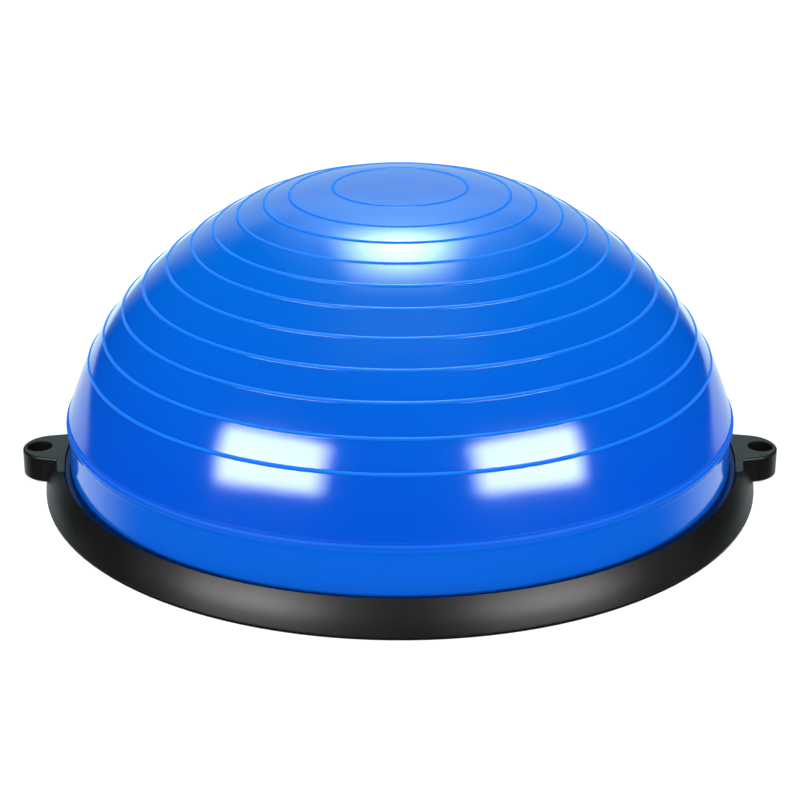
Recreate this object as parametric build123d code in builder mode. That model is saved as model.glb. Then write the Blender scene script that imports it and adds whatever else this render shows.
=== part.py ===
"""Balance dome trainer: an air-filled half ball clamped onto a rigid round base with two band lugs.

Frame: millimetres, +Z up, origin on the floor under the middle of the base.
The two band lugs point along +X and -X and the air valve faces +Y.
"""
from build123d import *
from math import cos, radians, sin, tan
import os

# ------------------------------------------------------------------ driving dimensions
BASE_R = 290.0             # widest radius of the rim
PAD_LIFT = 1.0             # the rubber pads hold the platform this far off the floor
RIM_BOTTOM = 0.6           # underside of the rim, just clear of the floor
LIP_Z = 27.0               # top of the rim
LIP_INNER_R = 276.0        # edge of the rim that looks onto the dome
LIP_EDGE = 0.9             # rounding of that edge
FACE_ARC_R = 80.0          # the rim's face is a gently bulged cone
RIM_WALL = 2.5             # the rim is hollow behind its face
HOLLOW_TOP_R = 279.0
CLAMP_R = 273.6            # inner end of the ledge that presses on the dome's flange
TRIM_LINE_Z = 3.6          # fine groove above the foot of the rim
TRIM_GROOVE = 0.3
RIM_EDGE = 0.6             # bevel at the bottom of the rim
RIM_GAP = 0.3              # play between the bottom plate and the rim

CROWN_Z = 246.0            # top of the inflated dome
CROWN_POINTS = [(60, 244), (110, 232.2), (155, 208.8), (195, 178.3), (228, 143.6), (252, 106)]
CROWN_FOOT = (268.2, 65.5)
CROWN_FOOT_SLOPE = 70.0    # degrees below level where the crown meets the band
RIB_RADII = [53, 87, 107, 128, 147.5, 165, 185, 204, 221, 237, 250]
RIB_R = 1.4                # section radius of a raised rib, sunk to stand 1 mm proud
RIB_PROUD = 1.0
CREASE = (268.3, 64.3)     # shallow crease under the crown
BAND_R = 269.0             # upright band between the crown and the rim
BAND_EDGE_R = 270.2        # rounded upper edge of the band
BAND_EDGE_Z = 62.0
BAND_EDGE_DROP = 5.0
DOME_WALL = 3.5
FLOOR_WALL = 2.5           # closed floor of the bladder
FLOOR_BEVEL = 4.0
FLANGE_R = 278.2           # foot flange of the dome, gripped under the rim
FLANGE_BOTTOM = 16.0
FLANGE_TOP = 20.0
FLANGE_FILLET = 2.0

PLATE_R = 286.4            # moulded bottom plate
PLATE_WALL = 3.0
EDGE_RING_R = 273.0        # the plate is thicker outside this radius
EDGE_RING_TOP = 5.0
DECK_BOTTOM = 13.0         # the deck carries the bladder on top of the plate's ribs
DECK_BEVEL = 0.8
LOCATOR_R = 264.5          # ring under the deck that drops inside the plate's outer web
LOCATOR_WALL = 2.5
LOCATOR_DEPTH = 2.0
WEB_WALL = 2.2
WEB_RING_RADII = [42, 110, 180, 268]
SPOKE_COUNT = 24
SPOKE_START_R = 41.0
SPOKE_END_R = 259.5
GRIP_X = 222.0             # middle of each hand recess in the underside
GRIP_WIDTH = 36.0
GRIP_LENGTH = 116.0
GRIP_CORNER_R = 9.0
GRIP_WALL = 2.5
GRIP_ROOF = 11.4
TREAD_GROOVE_RADII = [70, 90, 140, 160]
TREAD_GROOVE_WIDTH = 1.6
TREAD_GROOVE_DEPTH = 0.8

PAD_R = 17.0
PAD_HEIGHT = 2.2
PAD_EDGE = 0.6
PAD_CIRCLE_R = 248.0
PAD_COUNT = 8

RIM_SCREW_CIRCLE_R = 281.6
RIM_SCREW_COUNT = 16
RIM_SCREW_LENGTH = 9.0
BOSS_R = 2.8
BOSS_TOP = 15.0
BOSS_ROOF = 2.0            # plastic left above the blind screw hole
SCREW_R = 1.7
SCREW_HOLE_R = 1.75
SCREW_CLEARANCE_R = 2.1
HEAD_R = 3.4
HEAD_HEIGHT = 2.0
HEAD_EDGE = 0.8
HEAD_POCKET_R = 3.8
HEAD_POCKET_TOP = 3.4
CROSS_SLOT = (3.6, 0.8)    # length and width of the driver's cross
CROSS_SLOT_DEPTH = 1.2

LUG_TIP_R = 24.5           # round nose of a band lug
LUG_NOSE_X = 287.0
LUG_FLARE = 12.0           # degrees that the lug's sides open towards the base
LUG_ROOT_X = 266.0
LUG_TOP = 22.3
LUG_EDGE = 1.8             # rounding of the lug's upper edge
LUG_FOOT_EDGE = 1.0        # bevel round the bottom of the lug
LUG_SEAM = 0.1             # gap all round the lug where it passes through the rim
LUG_SHOULDER_R = 280.0     # the lug's block stands outside this radius
LIP_GAP_Y = 50.0           # half width of the gap in the lip, level with the lug's top
LIP_END_Y = 62.0           # the lip reaches its full height this far from the lug's middle
TANG_R = 270.5             # inner end of the lug's tang
TANG_TOP = 12.6
BAND_HOLE_X = 298.0
BAND_HOLE_R = 10.0
BAND_HOLE_EDGE = 0.8
LUG_SCREW_X = 277.0
LUG_SCREW_Y = 17.0
LUG_SCREW_LENGTH = 7.5

VALVE_Z = 42.0
VALVE_PAD_R = 12.0         # flat pad moulded on the band around the valve
VALVE_PAD_Y = 269.8
VALVE_HOLE_R = 6.5
SEAT_FLANGE_R = 10.5
SEAT_FLANGE = 1.6
SEAT_EDGE = 0.6
SEAT_DEPTH = 16.0
SEAT_COLLAR = 2.0          # collar inside the dome that holds the seat
STEM_R = 3.5
STEM_CLEARANCE = 0.05
STEM_LENGTH = 13.0
STEM_BEVEL = 1.0
PLUG_HEAD_R = 8.0
PLUG_HEAD = 2.6
PLUG_EDGE = 1.0
PLUG_TAB_LENGTH = 10.0     # thin finger tab on one side of the plug's head
PLUG_TAB_WIDTH = 5.0

PLATE_BOTTOM = PAD_LIFT
PLATE_TOP = PLATE_BOTTOM + PLATE_WALL
CENTRE = [(0, 0)]


# ------------------------------------------------------------------ shared shapes
def crown_curve(sink):
    """Meridian of the crown, drawn inside a BuildLine, moved inwards by sink."""
    slope = radians(CROWN_FOOT_SLOPE)
    foot = (CROWN_FOOT[0] - sink * sin(slope), CROWN_FOOT[1] - sink * cos(slope))
    shrink = foot[0] / CROWN_FOOT[0]
    drop = (CROWN_Z - sink - foot[1]) / (CROWN_Z - CROWN_FOOT[1])
    inner_points = [(r * shrink, CROWN_Z - sink - (CROWN_Z - z) * drop) for r, z in CROWN_POINTS]
    return Spline((0, CROWN_Z - sink), *inner_points, foot,
                  tangents=[(1, 0), (cos(slope), -sin(slope))])


def rib_centre(crown, radius):
    """Centre of a rib's round section, where the meridian passes the given radius."""
    low, high = 0.0, 1.0
    while high - low > 1e-5:
        middle = (low + high) / 2
        if (crown @ middle).X < radius:
            low = middle
        else:
            high = middle
    tangent = crown % low
    sunk = RIB_R - RIB_PROUD
    point = crown @ low
    return (point.X + tangent.Y * sunk, point.Y - tangent.X * sunk)


def on_circle(radius, count):
    """Points of an even ring, half a step away from the lugs on the X axis."""
    angles = [radians(360 / count * (i + 0.5)) for i in range(count)]
    return [(radius * cos(a), radius * sin(a)) for a in angles]


def lug_plan(growth):
    """Plan outline of a lug pointing along +X, as a flat face."""
    flare = radians(LUG_FLARE)
    nose_r = LUG_TIP_R + growth
    touch = (LUG_NOSE_X + nose_r * sin(flare), nose_r * cos(flare))
    root_y = touch[1] + (touch[0] - LUG_ROOT_X) * tan(flare)
    with BuildSketch() as plan:
        with BuildLine():
            ThreePointArc(touch, (LUG_NOSE_X + nose_r, 0), (touch[0], -touch[1]))
            Polyline((touch[0], -touch[1]), (LUG_ROOT_X, -root_y), (LUG_ROOT_X, root_y), touch)
        make_face()
    return plan.sketch


def columns(places, radius, bottom, top, mode=Mode.ADD):
    """Upright round columns between two heights, added to or cut from the part being built."""
    with BuildSketch(Plane.XY.offset(bottom)) as plan:
        with Locations(*places):
            Circle(radius)
    extrude(plan.sketch, amount=top - bottom, mode=mode)


def ring(outer, inner, bottom, top, mode=Mode.ADD):
    """Upright tube round the Z axis, added to or cut from the part being built."""
    with BuildSketch(Plane.XY.offset(bottom)) as plan:
        Circle(outer)
        Circle(inner, mode=Mode.SUBTRACT)
    extrude(plan.sketch, amount=top - bottom, mode=mode)


def valve_disc(radius, start_y, end_y, mode=Mode.ADD):
    """Round disc on the valve's axis between two distances from the middle of the base."""
    with BuildSketch(Plane(origin=(0, start_y, VALVE_Z), x_dir=(1, 0, 0), z_dir=(0, 1, 0))) as plan:
        Circle(radius)
    extrude(plan.sketch, amount=end_y - start_y, mode=mode)


def screw_group(places, length):
    """Pan-head screws driven upwards, their heads inside the plate's pockets."""
    head_bottom = HEAD_POCKET_TOP - HEAD_HEIGHT
    with BuildPart() as screws:
        columns(places, HEAD_R, head_bottom, HEAD_POCKET_TOP)
        fillet(screws.edges().group_by(Axis.Z)[0], HEAD_EDGE)
        columns(places, SCREW_R, HEAD_POCKET_TOP, HEAD_POCKET_TOP + length)
        with BuildSketch(Plane.XY.offset(head_bottom)):
            with Locations(*places):
                Rectangle(*CROSS_SLOT)
                Rectangle(*reversed(CROSS_SLOT))
        extrude(amount=CROSS_SLOT_DEPTH, mode=Mode.SUBTRACT)
    return screws.part


def finish(solid, name):
    """Label a finished piece and write it as its own node."""
    solid.label = name
    export_step(solid, f"parts/{name}.step")


os.makedirs("parts", exist_ok=True)
rim_screw_places = on_circle(RIM_SCREW_CIRCLE_R, RIM_SCREW_COUNT)
lug_screw_places = [(x, y) for x in (-LUG_SCREW_X, LUG_SCREW_X) for y in (-LUG_SCREW_Y, LUG_SCREW_Y)]
pad_places = on_circle(PAD_CIRCLE_R, PAD_COUNT)
dome_inside_r = BAND_R - DOME_WALL

# ------------------------------------------------------------------ dome: closed PVC bladder
with BuildPart() as dome:
    with BuildSketch(Plane.XZ):
        with BuildLine():
            crown = crown_curve(0)
            crease = Line(CROWN_FOOT, CREASE)
            edge = ThreePointArc(crease @ 1, (BAND_EDGE_R, BAND_EDGE_Z),
                                 (BAND_R, BAND_EDGE_Z - BAND_EDGE_DROP))
            band = Line(edge @ 1, (BAND_R, FLANGE_TOP + FLANGE_FILLET))
            root = ThreePointArc(band @ 1, (BAND_R + 0.3 * FLANGE_FILLET, FLANGE_TOP + 0.3 * FLANGE_FILLET),
                                 (BAND_R + FLANGE_FILLET, FLANGE_TOP))
            Polyline(root @ 1, (FLANGE_R, FLANGE_TOP), (FLANGE_R, FLANGE_BOTTOM),
                     (0, FLANGE_BOTTOM), (0, CROWN_Z))
        make_face()
        with Locations(*[rib_centre(crown, radius) for radius in RIB_RADII]):
            Circle(RIB_R)
    revolve(axis=Axis.Z)
    valve_disc(VALVE_PAD_R, dome_inside_r - 1, VALVE_PAD_Y)
    with BuildSketch(Plane.XZ):
        floor_z = FLANGE_BOTTOM + FLOOR_WALL
        with BuildLine():
            inner_crown = crown_curve(DOME_WALL)
            Polyline(inner_crown @ 1, (dome_inside_r, BAND_EDGE_Z - 2),
                     (dome_inside_r, floor_z + FLOOR_BEVEL),
                     (dome_inside_r - FLOOR_BEVEL, floor_z), (0, floor_z), (0, CROWN_Z - DOME_WALL))
        make_face()
    revolve(axis=Axis.Z, mode=Mode.SUBTRACT)
    valve_disc(VALVE_HOLE_R, dome_inside_r - 10, VALVE_PAD_Y, Mode.SUBTRACT)
finish(dome.part, "dome")

# ------------------------------------------------------------------ air valve: bonded seat
with BuildPart() as valve_seat:
    seat_front = VALVE_PAD_Y + SEAT_FLANGE
    collar_front = dome_inside_r - 0.4
    valve_disc(VALVE_HOLE_R, VALVE_PAD_Y - SEAT_DEPTH, VALVE_PAD_Y)
    valve_disc(SEAT_FLANGE_R, VALVE_PAD_Y, seat_front)
    fillet(valve_seat.edges().group_by(Axis.Y)[-1], SEAT_EDGE)
    valve_disc(VALVE_HOLE_R + SEAT_COLLAR, collar_front - SEAT_COLLAR, collar_front)
    valve_disc(STEM_R + STEM_CLEARANCE, VALVE_PAD_Y - SEAT_DEPTH, seat_front, Mode.SUBTRACT)
finish(valve_seat.part, "valve_seat")

# ------------------------------------------------------------------ air plug: pulls out of the seat
with BuildPart() as air_plug:
    valve_disc(PLUG_HEAD_R, seat_front, seat_front + PLUG_HEAD)
    fillet(air_plug.edges().group_by(Axis.Y)[-1], PLUG_EDGE)
    tab_middle = (0, seat_front, VALVE_Z - PLUG_HEAD_R)
    with BuildSketch(Plane(origin=tab_middle, x_dir=(1, 0, 0), z_dir=(0, 1, 0))):
        SlotOverall(PLUG_TAB_LENGTH, PLUG_TAB_WIDTH)
    extrude(amount=PLUG_HEAD / 2)
    valve_disc(STEM_R, seat_front - STEM_LENGTH, seat_front)
    chamfer(air_plug.edges().group_by(Axis.Y)[0], STEM_BEVEL)
finish(air_plug.part, "air_plug")

# ------------------------------------------------------------------ rim: moulded clamp ring
with BuildPart() as rim:
    with BuildSketch(Plane.XZ):
        with BuildLine():
            lip = ThreePointArc((LIP_INNER_R, LIP_Z - LIP_EDGE),
                                (LIP_INNER_R + 0.3 * LIP_EDGE, LIP_Z - 0.3 * LIP_EDGE),
                                (LIP_INNER_R + LIP_EDGE, LIP_Z))
            face = RadiusArc(lip @ 1, (BASE_R, TRIM_LINE_Z), FACE_ARC_R)
            foot = Polyline(face @ 1,
                            (BASE_R - TRIM_GROOVE, TRIM_LINE_Z - TRIM_GROOVE),
                            (BASE_R, TRIM_LINE_Z - 2 * TRIM_GROOVE),
                            (BASE_R, RIM_BOTTOM + RIM_EDGE),
                            (BASE_R - RIM_EDGE, RIM_BOTTOM),
                            (PLATE_R + RIM_GAP, RIM_BOTTOM),
                            (PLATE_R + RIM_GAP, EDGE_RING_TOP))
            hollow = RadiusArc(foot @ 1, (HOLLOW_TOP_R, FLANGE_TOP), -(FACE_ARC_R - RIM_WALL))
            Polyline(hollow @ 1, (CLAMP_R, FLANGE_TOP), lip @ 0)
        make_face()
    revolve(axis=Axis.Z)
    columns(rim_screw_places, BOSS_R, EDGE_RING_TOP, BOSS_TOP)
    columns(rim_screw_places, SCREW_HOLE_R, EDGE_RING_TOP, BOSS_TOP - BOSS_ROOF, Mode.SUBTRACT)
    with BuildSketch(Plane.YZ.offset(-BASE_R)):
        with BuildLine():
            Polyline((-LIP_GAP_Y, LUG_TOP), (LIP_GAP_Y, LUG_TOP), (LIP_END_Y, LIP_Z),
                     (LIP_END_Y, 2 * LIP_Z), (-LIP_END_Y, 2 * LIP_Z), (-LIP_END_Y, LIP_Z), close=True)
        make_face()
    extrude(amount=2 * BASE_R, mode=Mode.SUBTRACT)
    for turn in (0, 180):
        with BuildSketch(Plane.XY.rotated((0, 0, turn))):
            add(lug_plan(LUG_SEAM))
            Circle(LUG_SHOULDER_R, mode=Mode.SUBTRACT)
        extrude(amount=LIP_Z, mode=Mode.SUBTRACT)
finish(rim.part, "rim")

# ------------------------------------------------------------------ deck: disc under the bladder
with BuildPart() as deck:
    columns(CENTRE, FLANGE_R, DECK_BOTTOM, FLANGE_BOTTOM)
    chamfer(deck.edges().group_by(Axis.Z)[0], DECK_BEVEL)
    ring(LOCATOR_R, LOCATOR_R - LOCATOR_WALL, DECK_BOTTOM - LOCATOR_DEPTH, DECK_BOTTOM)
finish(deck.part, "deck")

# ------------------------------------------------------------------ platform: ribbed bottom plate
with BuildPart() as platform:
    columns(CENTRE, PLATE_R, PLATE_BOTTOM, PLATE_TOP)
    ring(PLATE_R, EDGE_RING_R, PLATE_BOTTOM, EDGE_RING_TOP)
    for radius in WEB_RING_RADII:
        ring(radius, radius - WEB_WALL, PLATE_TOP, DECK_BOTTOM)
    with BuildSketch(Plane.XY.offset(PLATE_TOP)):
        with PolarLocations((SPOKE_START_R + SPOKE_END_R) / 2, SPOKE_COUNT, start_angle=180 / SPOKE_COUNT):
            Rectangle(SPOKE_END_R - SPOKE_START_R, WEB_WALL)
        with Locations((-GRIP_X, 0), (GRIP_X, 0)):
            RectangleRounded(GRIP_WIDTH + 2 * GRIP_WALL, GRIP_LENGTH + 2 * GRIP_WALL,
                             GRIP_CORNER_R + GRIP_WALL)
    extrude(amount=DECK_BOTTOM - PLATE_TOP)
    with BuildSketch(Plane.XY.offset(PLATE_BOTTOM)):
        with Locations((-GRIP_X, 0), (GRIP_X, 0)):
            RectangleRounded(GRIP_WIDTH, GRIP_LENGTH, GRIP_CORNER_R)
    extrude(amount=GRIP_ROOF - PLATE_BOTTOM, mode=Mode.SUBTRACT)
    for radius in TREAD_GROOVE_RADII:
        ring(radius + TREAD_GROOVE_WIDTH, radius, PLATE_BOTTOM, PLATE_BOTTOM + TREAD_GROOVE_DEPTH,
             Mode.SUBTRACT)
    columns(pad_places, PAD_R, PLATE_BOTTOM, PAD_HEIGHT, Mode.SUBTRACT)
    for places in (rim_screw_places, lug_screw_places):
        columns(places, SCREW_CLEARANCE_R, PLATE_BOTTOM, EDGE_RING_TOP, Mode.SUBTRACT)
        columns(places, HEAD_POCKET_R, PLATE_BOTTOM, HEAD_POCKET_TOP, Mode.SUBTRACT)
finish(platform.part, "platform")

# ------------------------------------------------------------------ band lugs
with BuildPart() as lug_right:
    with BuildSketch(Plane.XY.offset(RIM_BOTTOM)):
        add(lug_plan(0))
    extrude(amount=LUG_TOP - RIM_BOTTOM)
    fillet(lug_right.faces().sort_by(Axis.Z)[-1].edges().sort_by(Axis.X)[1:], LUG_EDGE)
    chamfer(lug_right.faces().sort_by(Axis.Z)[0].edges(), LUG_FOOT_EDGE)
    columns(CENTRE, LUG_SHOULDER_R, TANG_TOP, LIP_Z, Mode.SUBTRACT)
    columns(CENTRE, TANG_R, 0, LIP_Z, Mode.SUBTRACT)
    columns(CENTRE, PLATE_R + RIM_GAP, 0, EDGE_RING_TOP, Mode.SUBTRACT)
    columns([(BAND_HOLE_X, 0)], BAND_HOLE_R, 0, LIP_Z, Mode.SUBTRACT)
    hole_edges = lug_right.edges().filter_by(GeomType.CIRCLE)
    chamfer(hole_edges.filter_by(lambda e: abs(e.radius - BAND_HOLE_R) < 0.01), BAND_HOLE_EDGE)
    columns([place for place in lug_screw_places if place[0] > 0], SCREW_HOLE_R,
            EDGE_RING_TOP, TANG_TOP - 1, Mode.SUBTRACT)
finish(lug_right.part, "lug_right")

with BuildPart() as lug_left:
    add(lug_right.part, rotation=(0, 0, 180))
finish(lug_left.part, "lug_left")

# ------------------------------------------------------------------ screws and rubber pads
finish(screw_group(rim_screw_places, RIM_SCREW_LENGTH), "rim_screws")
finish(screw_group(lug_screw_places, LUG_SCREW_LENGTH), "lug_screws")

for index, place in enumerate(pad_places, start=1):
    with BuildPart() as pad:
        columns([place], PAD_R, 0, PAD_HEIGHT)
        fillet(pad.edges().group_by(Axis.Z)[0], PAD_EDGE)
    finish(pad.part, f"foot_pad_{index}")
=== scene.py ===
"""Looks for the balance dome trainer: blue PVC dome, black rim and lugs, rubber pads, studio light."""
import math

import bmesh
import bpy
import numpy as np
from mathutils import Matrix, Vector


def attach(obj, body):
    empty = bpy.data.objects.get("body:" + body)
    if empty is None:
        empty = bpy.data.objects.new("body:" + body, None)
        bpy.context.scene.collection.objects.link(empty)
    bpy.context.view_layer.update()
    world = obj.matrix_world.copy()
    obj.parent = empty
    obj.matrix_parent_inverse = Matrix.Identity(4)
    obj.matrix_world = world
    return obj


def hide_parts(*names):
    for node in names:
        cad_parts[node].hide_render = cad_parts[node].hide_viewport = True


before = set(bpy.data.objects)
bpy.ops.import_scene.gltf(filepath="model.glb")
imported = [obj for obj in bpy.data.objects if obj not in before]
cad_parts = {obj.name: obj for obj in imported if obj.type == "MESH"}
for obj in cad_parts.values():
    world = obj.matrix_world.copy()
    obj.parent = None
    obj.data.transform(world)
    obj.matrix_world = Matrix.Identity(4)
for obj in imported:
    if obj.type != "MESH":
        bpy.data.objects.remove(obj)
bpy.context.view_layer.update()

MM = 0.001

# ---------------------------------------------------------------- sizes of the dome, in millimetres
CROWN = [(0, 246), (60, 244), (110, 232.2), (155, 208.8),
         (195, 178.3), (228, 143.6), (252, 106), (268.2, 65.5)]
CROWN_FOOT_SLOPE = 70.0
RIB_RADII = [53, 87, 107, 128, 147.5, 165, 185, 204, 221, 237, 250]
RIB_HALF_WIDTH = 1.5
RIB_HEIGHT = 0.9
RIB_STEPS = 7
RIB_MARGIN = 0.8
CROWN_STEP = 4.0
CROWN_SAMPLES = 4001
BAND_R = 269.0
BAND_EDGE_R = 270.2
BAND_EDGE_Z = 62.0
STEP_LINE_Z = 63.4
STEP_SHARE = 0.26
STEP_HALF_WIDTH = 0.9
BAND_STATIONS = (54, 48, 42, 36, 30, 25)
FLOOR_STATIONS = (200, 120, 50)
FLANGE_TOP = 20.0
FLANGE_BOTTOM = 16.0
FLANGE_R = 278.2
FLANGE_EDGE = 0.6
FLANGE_ROOT = 2
VALVE_Z = 42.0
VALVE_PAD_R = 12.0
VALVE_PAD_Y = 269.8
VALVE_HOLE_R = 6.5
LATHE_STEPS = 512

# ------------------------------------------------ heights, in metres, where the dome's look changes
# Painted shade: below these heights the band in the gap under the rim turns dark navy and loses most of its
# gloss.
GAP_SHADE_Z = (0.0238, 0.0262)
# Painted light: below these heights the band is painted paler, for light bounced up from the floor.
BAND_BOUNCE_Z = (0.0600, 0.0625)
# Painted light: above these heights the crown is painted paler and greener, for light from above.
CROWN_LIGHT_Z = (0.08, 0.21)
STEP_BOTTOM_Z = (0.0595, 0.0605)
STEP_TOP_Z = (0.0655, 0.0665)

# ---------------------------------------------------------------- camera and stage, in metres and degrees
CAMERA_PLACE = (0.0, -1.5515, 0.7030)
CAMERA_PITCH = 67.60
CAMERA_LENS = 92.18
FLOOR_HALF = 60.0
LIGHT_DISTANCE = 2.2
WALL_DISTANCE = 3.0
AIM_HEIGHT = 0.1


# ---------------------------------------------------------------- mesh helpers
def crown_spline(points, foot_slope):
    """Smooth cubic through the points, level at the first and falling by foot_slope at the last."""
    p = np.array(points, float)
    s = np.concatenate(([0.0], np.cumsum(np.hypot(*np.diff(p, axis=0).T))))
    h = np.diff(s)
    n = len(p)
    slope = math.radians(foot_slope)
    a = np.zeros((n, n))
    b = np.zeros((n, 2))
    a[0, 0] = a[-1, -1] = 1.0
    b[0] = (1.0, 0.0)
    b[-1] = (math.cos(slope), -math.sin(slope))
    for i in range(1, n - 1):
        a[i, i - 1] = h[i]
        a[i, i] = 2 * (h[i - 1] + h[i])
        a[i, i + 1] = h[i - 1]
        b[i] = 3 * (h[i] * (p[i] - p[i - 1]) / h[i - 1] + h[i - 1] * (p[i + 1] - p[i]) / h[i])
    tangents = np.linalg.solve(a, b)

    def at(distance):
        i = min(int(np.searchsorted(s, distance, side="right")) - 1, n - 2)
        t = (distance - s[i]) / h[i]
        point = ((2 * t**3 - 3 * t**2 + 1) * p[i] + (t**3 - 2 * t**2 + t) * h[i] * tangents[i]
                 + (3 * t**2 - 2 * t**3) * p[i + 1] + (t**3 - t**2) * h[i] * tangents[i + 1])
        along = ((6 * t**2 - 6 * t) * (p[i] - p[i + 1]) / h[i] + (3 * t**2 - 4 * t + 1) * tangents[i]
                 + (3 * t**2 - 2 * t) * tangents[i + 1])
        along /= np.hypot(*along)
        return point, along

    return at, s[-1]


def arc(start, through, end, steps):
    """Points of the circle arc from start past through to end, without the first."""
    (ax, ay), (bx, by), (cx, cy) = start, through, end
    d = 2 * (ax * (by - cy) + bx * (cy - ay) + cx * (ay - by))
    ux = ((ax**2 + ay**2) * (by - cy) + (bx**2 + by**2) * (cy - ay) + (cx**2 + cy**2) * (ay - by)) / d
    uy = ((ax**2 + ay**2) * (cx - bx) + (bx**2 + by**2) * (ax - cx) + (cx**2 + cy**2) * (bx - ax)) / d
    radius = math.hypot(ax - ux, ay - uy)
    first = math.atan2(ay - uy, ax - ux)
    turn = (math.atan2(cy - uy, cx - ux) - first + math.pi) % (2 * math.pi) - math.pi
    angles = [first + turn * k / steps for k in range(1, steps + 1)]
    return [(ux + radius * math.cos(angle), uy + radius * math.sin(angle)) for angle in angles]


def dome_profile():
    """Outline of the dome in radius, height and rib share: ribbed crown, step, band and gripped flange."""
    at, length = crown_spline(CROWN, CROWN_FOOT_SLOPE)
    samples = np.linspace(0, length, CROWN_SAMPLES)
    radii = np.array([at(d)[0][0] for d in samples])
    rib_places = np.interp(RIB_RADII, radii, samples)
    stations = set(np.arange(0, length, CROWN_STEP).tolist() + [length])
    for place in rib_places:
        stations = {d for d in stations if abs(d - place) > RIB_HALF_WIDTH + RIB_MARGIN}
        stations |= {place + RIB_HALF_WIDTH * k / RIB_STEPS for k in range(-RIB_STEPS - 1, RIB_STEPS + 2)}
    outline = []
    for d in sorted(stations):
        point, along = at(d)
        u = min(abs(d - place) for place in rib_places) / RIB_HALF_WIDTH
        rise = (1 - u * u) ** 2 if u < 1 else 0.0
        lift = RIB_HEIGHT * rise
        outline.append((point[0] - along[1] * lift, point[1] + along[0] * lift, rise))
    outline[0] = (0.0, CROWN[0][1], 0.0)
    foot = CROWN[-1]
    crease = (foot[0] + 0.1, foot[1] - 1.2)
    lower = [(foot[0] + 0.02, foot[1] - 0.6), crease]
    lower += arc(crease, (BAND_EDGE_R, BAND_EDGE_Z), (BAND_R, BAND_EDGE_Z - 5), 14)
    lower += [(BAND_R, z) for z in BAND_STATIONS]
    root = (BAND_R, FLANGE_TOP + FLANGE_ROOT)
    bend = (BAND_R + FLANGE_EDGE, FLANGE_TOP + FLANGE_EDGE)
    lower += [root] + arc(root, bend, (BAND_R + FLANGE_ROOT, FLANGE_TOP), 6)
    lower += [(FLANGE_R - FLANGE_EDGE, FLANGE_TOP), (FLANGE_R, FLANGE_TOP - FLANGE_EDGE)]
    lower += [(r, FLANGE_BOTTOM) for r in (FLANGE_R, *FLOOR_STATIONS, 0.0)]
    shares = [STEP_SHARE * max(0.0, 1 - abs(z - STEP_LINE_Z) / STEP_HALF_WIDTH) for _, z in lower]
    return outline + [(r, z, share) for (r, z), share in zip(lower, shares)]


def link(name, mesh):
    """A new object for the mesh, in the scene."""
    obj = bpy.data.objects.new(name, mesh)
    bpy.context.scene.collection.objects.link(obj)
    return obj


def smooth(obj, angle=40.0):
    """Smooth shading, with edges sharper than the angle kept crisp."""
    mesh = obj.data
    mesh.polygons.foreach_set("use_smooth", [True] * len(mesh.polygons))
    mesh.set_sharp_from_angle(angle=math.radians(angle))


def lathe(name, outline, steps=LATHE_STEPS):
    """Closed surface of revolution about Z, its rib share kept as a point value called rib."""
    verts = [(0.0, 0.0, outline[0][1] * MM), (0.0, 0.0, outline[-1][1] * MM)]
    ribs = [0.0, 0.0]
    rings = outline[1:-1]
    turns = [2 * math.pi * k / steps for k in range(steps)]
    for r, z, rib in rings:
        verts += [(r * MM * math.cos(t), r * MM * math.sin(t), z * MM) for t in turns]
        ribs += [rib] * steps
    faces = []
    last = 2 + (len(rings) - 1) * steps
    for k in range(steps):
        after = (k + 1) % steps
        faces.append((0, 2 + k, 2 + after))
        faces.append((1, last + after, last + k))
        for ring in range(len(rings) - 1):
            a, b = 2 + ring * steps, 2 + (ring + 1) * steps
            faces.append((a + k, b + k, b + after, a + after))
    mesh = bpy.data.meshes.new(name)
    mesh.from_pydata(verts, [], faces)
    mesh.attributes.new("rib", "FLOAT", "POINT").data.foreach_set("value", ribs)
    return link(name, mesh)


def drum(obj, operation, centre, radius, depth, axis):
    """Joins a round drum to the object or cuts it out, in millimetres."""
    mesh = bpy.data.meshes.new("drum")
    form = bmesh.new()
    bmesh.ops.create_cone(form, cap_ends=True, segments=64, radius1=radius * MM, radius2=radius * MM,
                          depth=depth * MM)
    form.to_mesh(mesh)
    form.free()
    tool = link("drum", mesh)
    turn = Vector(axis).to_track_quat("Z", "Y").to_matrix().to_4x4()
    tool.matrix_world = Matrix.Translation(Vector(centre) * MM) @ turn
    cut = obj.modifiers.new("drum", "BOOLEAN")
    cut.operation = operation
    cut.object = tool
    cut.solver = "EXACT"
    apply_modifiers(obj)
    bpy.data.objects.remove(tool)


def apply_modifiers(obj):
    """Replaces the object's mesh with what its modifiers make of it."""
    bpy.context.view_layer.update()
    graph = bpy.context.evaluated_depsgraph_get()
    made = bpy.data.meshes.new_from_object(obj.evaluated_get(graph))
    obj.modifiers.clear()
    obj.data = made


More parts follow.
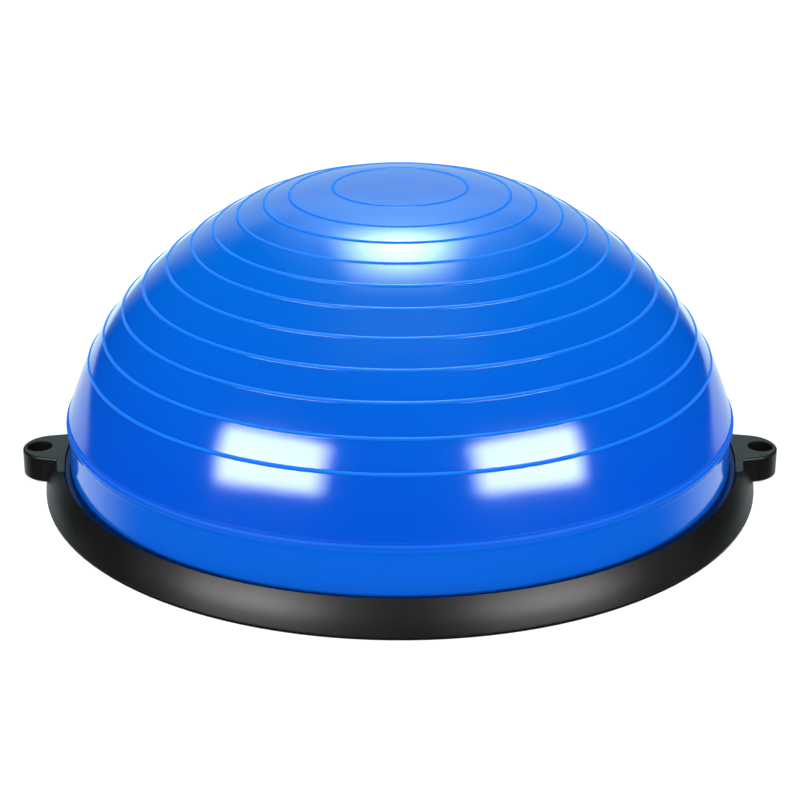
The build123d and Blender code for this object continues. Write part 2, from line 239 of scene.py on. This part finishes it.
# ---------------------------------------------------------------- material helpers
class Nodes:
    """A material's node tree with short calls for the nodes that this scene uses."""

    def __init__(self, name):
        self.material = bpy.data.materials.new(name)
        self.material.use_nodes = True
        self.tree = self.material.node_tree
        self.shader = next(n for n in self.tree.nodes if n.type == "BSDF_PRINCIPLED")
        self.place = self.tree.nodes.new("ShaderNodeTexCoord").outputs["Object"]

    def join(self, source, target):
        self.tree.links.new(source, target)

    def node(self, kind, **values):
        made = self.tree.nodes.new(kind)
        for key, value in values.items():
            if hasattr(made, key):
                setattr(made, key, value)
            else:
                made.inputs[key.replace("_", " ")].default_value = value
        return made

    def noise(self, scale, detail=3.0, roughness=0.55, distortion=0.0):
        made = self.node("ShaderNodeTexNoise", Scale=scale, Detail=detail, Roughness=roughness,
                         Distortion=distortion)
        self.join(self.place, made.inputs["Vector"])
        return made.outputs["Fac"]

    def cells(self, scale, feature="F1"):
        made = self.node("ShaderNodeTexVoronoi", feature=feature, Scale=scale)
        self.join(self.place, made.inputs["Vector"])
        return made.outputs["Distance"]

    def span(self, source, low, high, to_low=0.0, to_high=1.0):
        """Maps low..high of the source to to_low..to_high, clamped."""
        made = self.node("ShaderNodeMapRange")
        made.inputs["From Min"].default_value = low
        made.inputs["From Max"].default_value = high
        made.inputs["To Min"].default_value = to_low
        made.inputs["To Max"].default_value = to_high
        self.join(source, made.inputs["Value"])
        return made.outputs["Result"]

    def math(self, operation, first, second):
        made = self.node("ShaderNodeMath", operation=operation)
        for socket, value in zip(made.inputs, (first, second)):
            if isinstance(value, (int, float)):
                socket.default_value = value
            else:
                self.join(value, socket)
        return made.outputs["Value"]

    def mix(self, factor, first, second):
        """Mixes two colours, each a tuple or a socket."""
        made = self.node("ShaderNodeMix", data_type="RGBA")
        self.join(factor, made.inputs["Factor"])
        for index, value in ((6, first), (7, second)):
            if isinstance(value, tuple):
                made.inputs[index].default_value = (*value, 1.0)
            else:
                self.join(value, made.inputs[index])
        return made.outputs[2]

    def bump(self, height, depth, after=None):
        """Bump of the given depth in metres over the height signal, on top of an earlier bump."""
        made = self.node("ShaderNodeBump", Strength=1.0, Distance=depth)
        self.join(height, made.inputs["Height"])
        if after is not None:
            self.join(after, made.inputs["Normal"])
        return made.outputs["Normal"]

    def edges(self):
        """Convex edges, 0 to 1, from the mesh's pointiness."""
        return self.span(self.node("ShaderNodeNewGeometry").outputs["Pointiness"], 0.53, 0.60)

    def finish(self, colour, rough, normal=None, **values):
        self.join(colour, self.shader.inputs["Base Color"])
        self.join(rough, self.shader.inputs["Roughness"])
        if normal is not None:
            self.join(normal, self.shader.inputs["Normal"])
        for key, value in values.items():
            self.shader.inputs[key.replace("_", " ")].default_value = value
        return self.material


def dome_pvc():
    """Glossy blue PVC with paler, duller ribs and a fine orange peel; painted light makes the band paler
    for the floor's bounce and the crown paler and greener for light from above, and painted shade darkens
    the band in the gap under the rim.
    """
    n = Nodes("dome_pvc")
    rib = n.span(n.node("ShaderNodeAttribute", attribute_name="rib").outputs["Fac"], 0.02, 0.30)
    height = n.node("ShaderNodeSeparateXYZ")
    n.join(n.place, height.inputs[0])
    z = height.outputs["Z"]
    # Painted shade: dark navy on the band low in the gap under the rim.
    gap_shade = n.span(z, *GAP_SHADE_Z, 0.92, 0.0)
    drift = n.span(n.noise(5.0, 2.0), 0.3, 0.7)
    fine = n.noise(420.0, 2.0)
    side = n.mix(drift, (0.000, 0.088, 0.670), (0.000, 0.098, 0.710))
    # Painted light: the crown paler and greener, for light from above.
    crown = n.mix(drift, (0.000, 0.124, 0.610), (0.000, 0.134, 0.650))
    skin = n.mix(n.span(z, *CROWN_LIGHT_Z), side, crown)
    # Painted light: the band paler, for light bounced up from the floor.
    bounce_lit_band = n.mix(n.span(z, *BAND_BOUNCE_Z, 1.0, 0.0), skin, (0.000, 0.136, 0.770))
    ribbed = n.mix(rib, bounce_lit_band, (0.000, 0.190, 0.880))
    # The painted shade in the gap goes on last, over ribs and band.
    colour = n.mix(gap_shade, ribbed, (0.000, 0.010, 0.050))
    cloud = n.span(n.noise(14.0, 4.0), 0.3, 0.7, 0.085, 0.11)
    gloss = n.math("ADD", cloud, n.span(fine, 0.35, 0.65, 0.0, 0.015))
    above = n.span(z, *STEP_BOTTOM_Z)
    step = n.math("MULTIPLY", above, n.span(z, *STEP_TOP_Z, 1.0, 0.0))
    dull = n.math("MAXIMUM", rib, step)
    rough = n.math("MAXIMUM", gloss, n.math("MULTIPLY", dull, 0.5))
    # Painted shade: the gloss falls to a tenth in the gap under the rim.
    shine = n.math("MULTIPLY", n.span(dull, 0.0, 1.0, 0.5, 0.05), n.span(gap_shade, 0.0, 0.92, 1.0, 0.1))
    n.join(shine, n.shader.inputs["Specular IOR Level"])
    peel = n.bump(n.noise(60.0, 2.0), 0.00003)
    grain = n.bump(fine, 0.000008, peel)
    return n.finish(colour, rough, grain, IOR=1.45)


def valve_pvc():
    """The same PVC, duller and softer, as on a small hand-bonded seat."""
    n = Nodes("valve_pvc")
    grain = n.noise(900.0, 3.0)
    colour = n.mix(n.noise(60.0), (0.004, 0.09, 0.55), (0.006, 0.11, 0.62))
    return n.finish(colour, n.span(grain, 0.3, 0.7, 0.34, 0.42), n.bump(grain, 0.00002))


def black_plastic(name, tone, gloss, grain_depth, scratches=0.0, shine=0.35):
    """Moulded black plastic with spark-eroded grain, slightly paler on its worn edges."""
    n = Nodes(name)
    grain = n.noise(1500.0, 2.0)
    cloud = n.span(n.noise(18.0, 4.0), 0.3, 0.7)
    base = n.mix(cloud, (tone * 0.85,) * 3, (tone * 1.15, tone * 1.15, tone * 1.2))
    colour = n.mix(n.math("MULTIPLY", n.edges(), 0.35), base, (tone * 3.0,) * 3)
    clouded = n.span(cloud, 0.0, 1.0, gloss, gloss + 0.05)
    rough = n.math("ADD", clouded, n.span(grain, 0.3, 0.7, -0.02, 0.02))
    normal = n.bump(grain, grain_depth)
    if scratches:
        lines = n.node("ShaderNodeTexNoise", Scale=35.0, Detail=5.0, Distortion=2.5)
        n.join(n.place, lines.inputs["Vector"])
        rub = n.span(lines.outputs["Fac"], 0.60, 0.66)
        colour = n.mix(n.math("MULTIPLY", rub, scratches), colour, (tone * 2.6,) * 3)
    return n.finish(colour, rough, normal, IOR=1.5, Specular_IOR_Level=shine,
                    Specular_Tint=(1.0, 0.83, 0.83, 1.0))


def pad_rubber():
    """Matt black rubber with fine pimples and a little dust."""
    n = Nodes("pad_rubber")
    pimples = n.cells(650.0)
    dust = n.span(n.noise(90.0, 5.0), 0.55, 0.75, 0.0, 0.35)
    colour = n.mix(dust, (0.012, 0.012, 0.013), (0.09, 0.085, 0.08))
    return n.finish(colour, n.span(pimples, 0.0, 0.6, 0.75, 0.62), n.bump(pimples, 0.00012))


def screw_steel():
    """Black zinc on steel, turned marks and brighter edges."""
    n = Nodes("screw_steel")
    marks = n.noise(1200.0, 2.0)
    colour = n.mix(n.edges(), (0.10, 0.10, 0.105), (0.42, 0.42, 0.44))
    return n.finish(colour, n.span(marks, 0.3, 0.7, 0.28, 0.42), n.bump(marks, 0.00001), Metallic=1.0)


def floor_paint():
    """Plain pale studio floor with a barely visible mottling, clear when it is seen from below."""
    n = Nodes("floor")
    mottle = n.noise(1.5, 3.0)
    colour = n.mix(mottle, (0.235, 0.235, 0.242), (0.255, 0.255, 0.26))
    material = n.finish(colour, n.span(mottle, 0.0, 1.0, 0.7, 0.8))
    n.shader.inputs["Emission Color"].default_value = (0.95, 0.96, 1.0, 1.0)
    n.shader.inputs["Emission Strength"].default_value = 0.86
    clear = n.node("ShaderNodeBsdfTransparent")
    either = n.node("ShaderNodeMixShader")
    output = next(node for node in n.tree.nodes if node.type == "OUTPUT_MATERIAL")
    n.join(n.node("ShaderNodeNewGeometry").outputs["Backfacing"], either.inputs[0])
    n.join(n.shader.outputs[0], either.inputs[1])
    n.join(clear.outputs[0], either.inputs[2])
    n.join(either.outputs[0], output.inputs["Surface"])
    return material


def paint(obj, material):
    """Gives the whole object one material."""
    obj.data.materials.clear()
    obj.data.materials.append(material)


# ---------------------------------------------------------------- camera, first: it frames everything
def make_camera():
    """The product shot's camera: from the front, a little more than 22 degrees above the floor."""
    camera = bpy.data.cameras.new("camera")
    camera.sensor_width = 36.0
    camera.lens = CAMERA_LENS
    camera.clip_start, camera.clip_end = 0.05, 200.0
    obj = bpy.data.objects.new("camera", camera)
    obj.location = CAMERA_PLACE
    obj.rotation_euler = (math.radians(CAMERA_PITCH), 0.0, 0.0)
    bpy.context.scene.collection.objects.link(obj)
    bpy.context.scene.camera = obj


# ---------------------------------------------------------------- pieces
def make_dome():
    """The inflated dome, finer than its CAD solid and open for the valve."""
    skin = lathe("dome_skin", dome_profile())
    drum(skin, "UNION", (0, VALVE_PAD_Y - 4, VALVE_Z), VALVE_PAD_R, 8.0, (0, 1, 0))
    drum(skin, "DIFFERENCE", (0, VALVE_PAD_Y, VALVE_Z), VALVE_HOLE_R, 34.0, (0, 1, 0))
    smooth(skin, 50.0)
    paint(skin, dome_pvc())
    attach(skin, "base")
    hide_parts("dome")


def paint_cad_nodes():
    """Materials for the CAD pieces whose shape is already right."""
    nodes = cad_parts
    shell = black_plastic("black_plastic", 0.0068, 0.33, 0.000012, shine=0.172)
    under = black_plastic("platform_plastic", 0.016, 0.45, 0.00004, scratches=0.5)
    inner = black_plastic("deck_plastic", 0.02, 0.5, 0.00003)
    plug = black_plastic("plug_plastic", 0.014, 0.38, 0.00002)
    rubber = pad_rubber()
    steel = screw_steel()
    finishes = {"rim": shell, "lug_left": shell, "lug_right": shell, "platform": under, "deck": inner,
                "air_plug": plug, "valve_seat": valve_pvc(), "rim_screws": steel, "lug_screws": steel}
    finishes.update({name: rubber for name in nodes if name.startswith("foot_pad_")})
    for name, material in finishes.items():
        paint(nodes[name], material)
    nodes["rim"].visible_glossy = False
    nodes["rim"].visible_diffuse = False


# ---------------------------------------------------------------- stage and light
def make_floor():
    """A wide pale floor. Its own faint glow keeps it as white as the studio behind it."""
    mesh = bpy.data.meshes.new("floor")
    corners = [(FLOOR_HALF * x, FLOOR_HALF * y, 0) for x, y in ((-1, -1), (1, -1), (1, 1), (-1, 1))]
    mesh.from_pydata(corners, [], [(0, 1, 2, 3)])
    floor = link("floor", mesh)
    floor.visible_glossy = False
    paint(floor, floor_paint())


def fade(light, edge):
    """Lets a rectangular light fall off softly over the given share of its width and height."""
    light.use_nodes = True
    tree = light.node_tree
    emission = next(n for n in tree.nodes if n.type == "EMISSION")
    across = tree.nodes.new("ShaderNodeSeparateXYZ")
    tree.links.new(tree.nodes.new("ShaderNodeNewGeometry").outputs["Parametric"], across.inputs[0])
    shares = []
    for axis in ("X", "Y"):
        centred = tree.nodes.new("ShaderNodeMath")
        centred.operation = "SUBTRACT"
        tree.links.new(across.outputs[axis], centred.inputs[0])
        centred.inputs[1].default_value = 0.5
        far = tree.nodes.new("ShaderNodeMath")
        far.operation = "ABSOLUTE"
        tree.links.new(centred.outputs[0], far.inputs[0])
        ramp = tree.nodes.new("ShaderNodeMapRange")
        ramp.interpolation_type = "SMOOTHSTEP"
        ramp.inputs["From Min"].default_value = 0.5
        ramp.inputs["From Max"].default_value = 0.5 - edge
        tree.links.new(far.outputs[0], ramp.inputs["Value"])
        shares.append(ramp.outputs["Result"])
    both = tree.nodes.new("ShaderNodeMath")
    both.operation = "MULTIPLY"
    tree.links.new(shares[0], both.inputs[0])
    tree.links.new(shares[1], both.inputs[1])
    tree.links.new(both.outputs[0], emission.inputs["Strength"])


def softbox(name, centre, facing, size, radiance, edge, roll=0.0, glossy=True, diffuse=False,
            tint=(1.0, 1.0, 1.0)):
    """A rectangular light at centre, in metres, that shines against the facing direction."""
    width, height = size
    light = bpy.data.lights.new(name, "AREA")
    light.shape = "RECTANGLE"
    light.size, light.size_y = width, height
    light.energy = radiance * math.pi * width * height
    light.color = tint
    fade(light, edge)
    obj = bpy.data.objects.new(name, light)
    turn = Vector(facing).to_track_quat("Z", "Y").to_matrix()
    rolled = turn @ Matrix.Rotation(math.radians(roll), 3, "Z")
    obj.matrix_world = Matrix.Translation(centre) @ rolled.to_4x4()
    obj.visible_camera = False
    obj.visible_glossy = glossy
    obj.visible_diffuse = diffuse
    bpy.context.scene.collection.objects.link(obj)


def aimed(name, direction, distance, **values):
    """A softbox that hangs in the given direction from the dome's middle and faces it."""
    away = Vector(direction).normalized()
    softbox(name, Vector((0.0, 0.0, AIM_HEIGHT)) + away * distance, away, **values)


def make_light():
    """Two front softboxes, one high behind, dim panels that stand for the studio, and even daylight."""
    sky = (0.62, 1.0, 1.0)
    for name, side in (("front_left", -1), ("front_right", 1)):
        aimed(name, (0.645 * side, -0.637, 0.425), LIGHT_DISTANCE, size=(1.70, 0.98), radiance=28.0,
              edge=0.20, roll=-11.0 * side, tint=(0.88, 1.0, 1.0))
    aimed("high_back", (0.0, 0.38, 0.925), LIGHT_DISTANCE, size=(1.4, 1.8), radiance=29.0, edge=0.5,
          tint=(0.68, 0.95, 1.0))
    aimed("high_halo", (0.0, 0.60, 0.80), LIGHT_DISTANCE, size=(2.6, 2.8), radiance=3.0, edge=0.5, tint=sky)
    aimed("back_wall", (0.0, 1.0, 0.15), WALL_DISTANCE, size=(4.4, 3.4), radiance=0.78, edge=0.25,
          tint=(0.74, 1.0, 0.98))
    softbox("low_back", (0.0, 2.4, -0.5), (0, 0, -1), size=(8.0, 5.0), radiance=1.0, edge=0.15,
            tint=(0.83, 1.0, 1.0))
    softbox("low_front", (0.0, 0.0, -0.6), (0, 0, -1), size=(9.0, 9.0), radiance=0.02, edge=0.3)
    softbox("overhead", (0.0, 0.0, 3.0), (0, 0, 1), size=(3.0, 3.0), radiance=5.2, edge=0.3, glossy=False,
            diffuse=True)
    world = bpy.data.worlds.new("studio")
    bpy.context.scene.world = world
    world.use_nodes = True
    background = world.node_tree.nodes["Background"]
    background.inputs["Color"].default_value = (0.95, 0.97, 1.0, 1.0)
    background.inputs["Strength"].default_value = 0.62
    world.cycles_visibility.glossy = False


bpy.context.scene.view_settings.view_transform = "Standard"
make_camera()
make_dome()
paint_cad_nodes()
make_floor()
make_light()
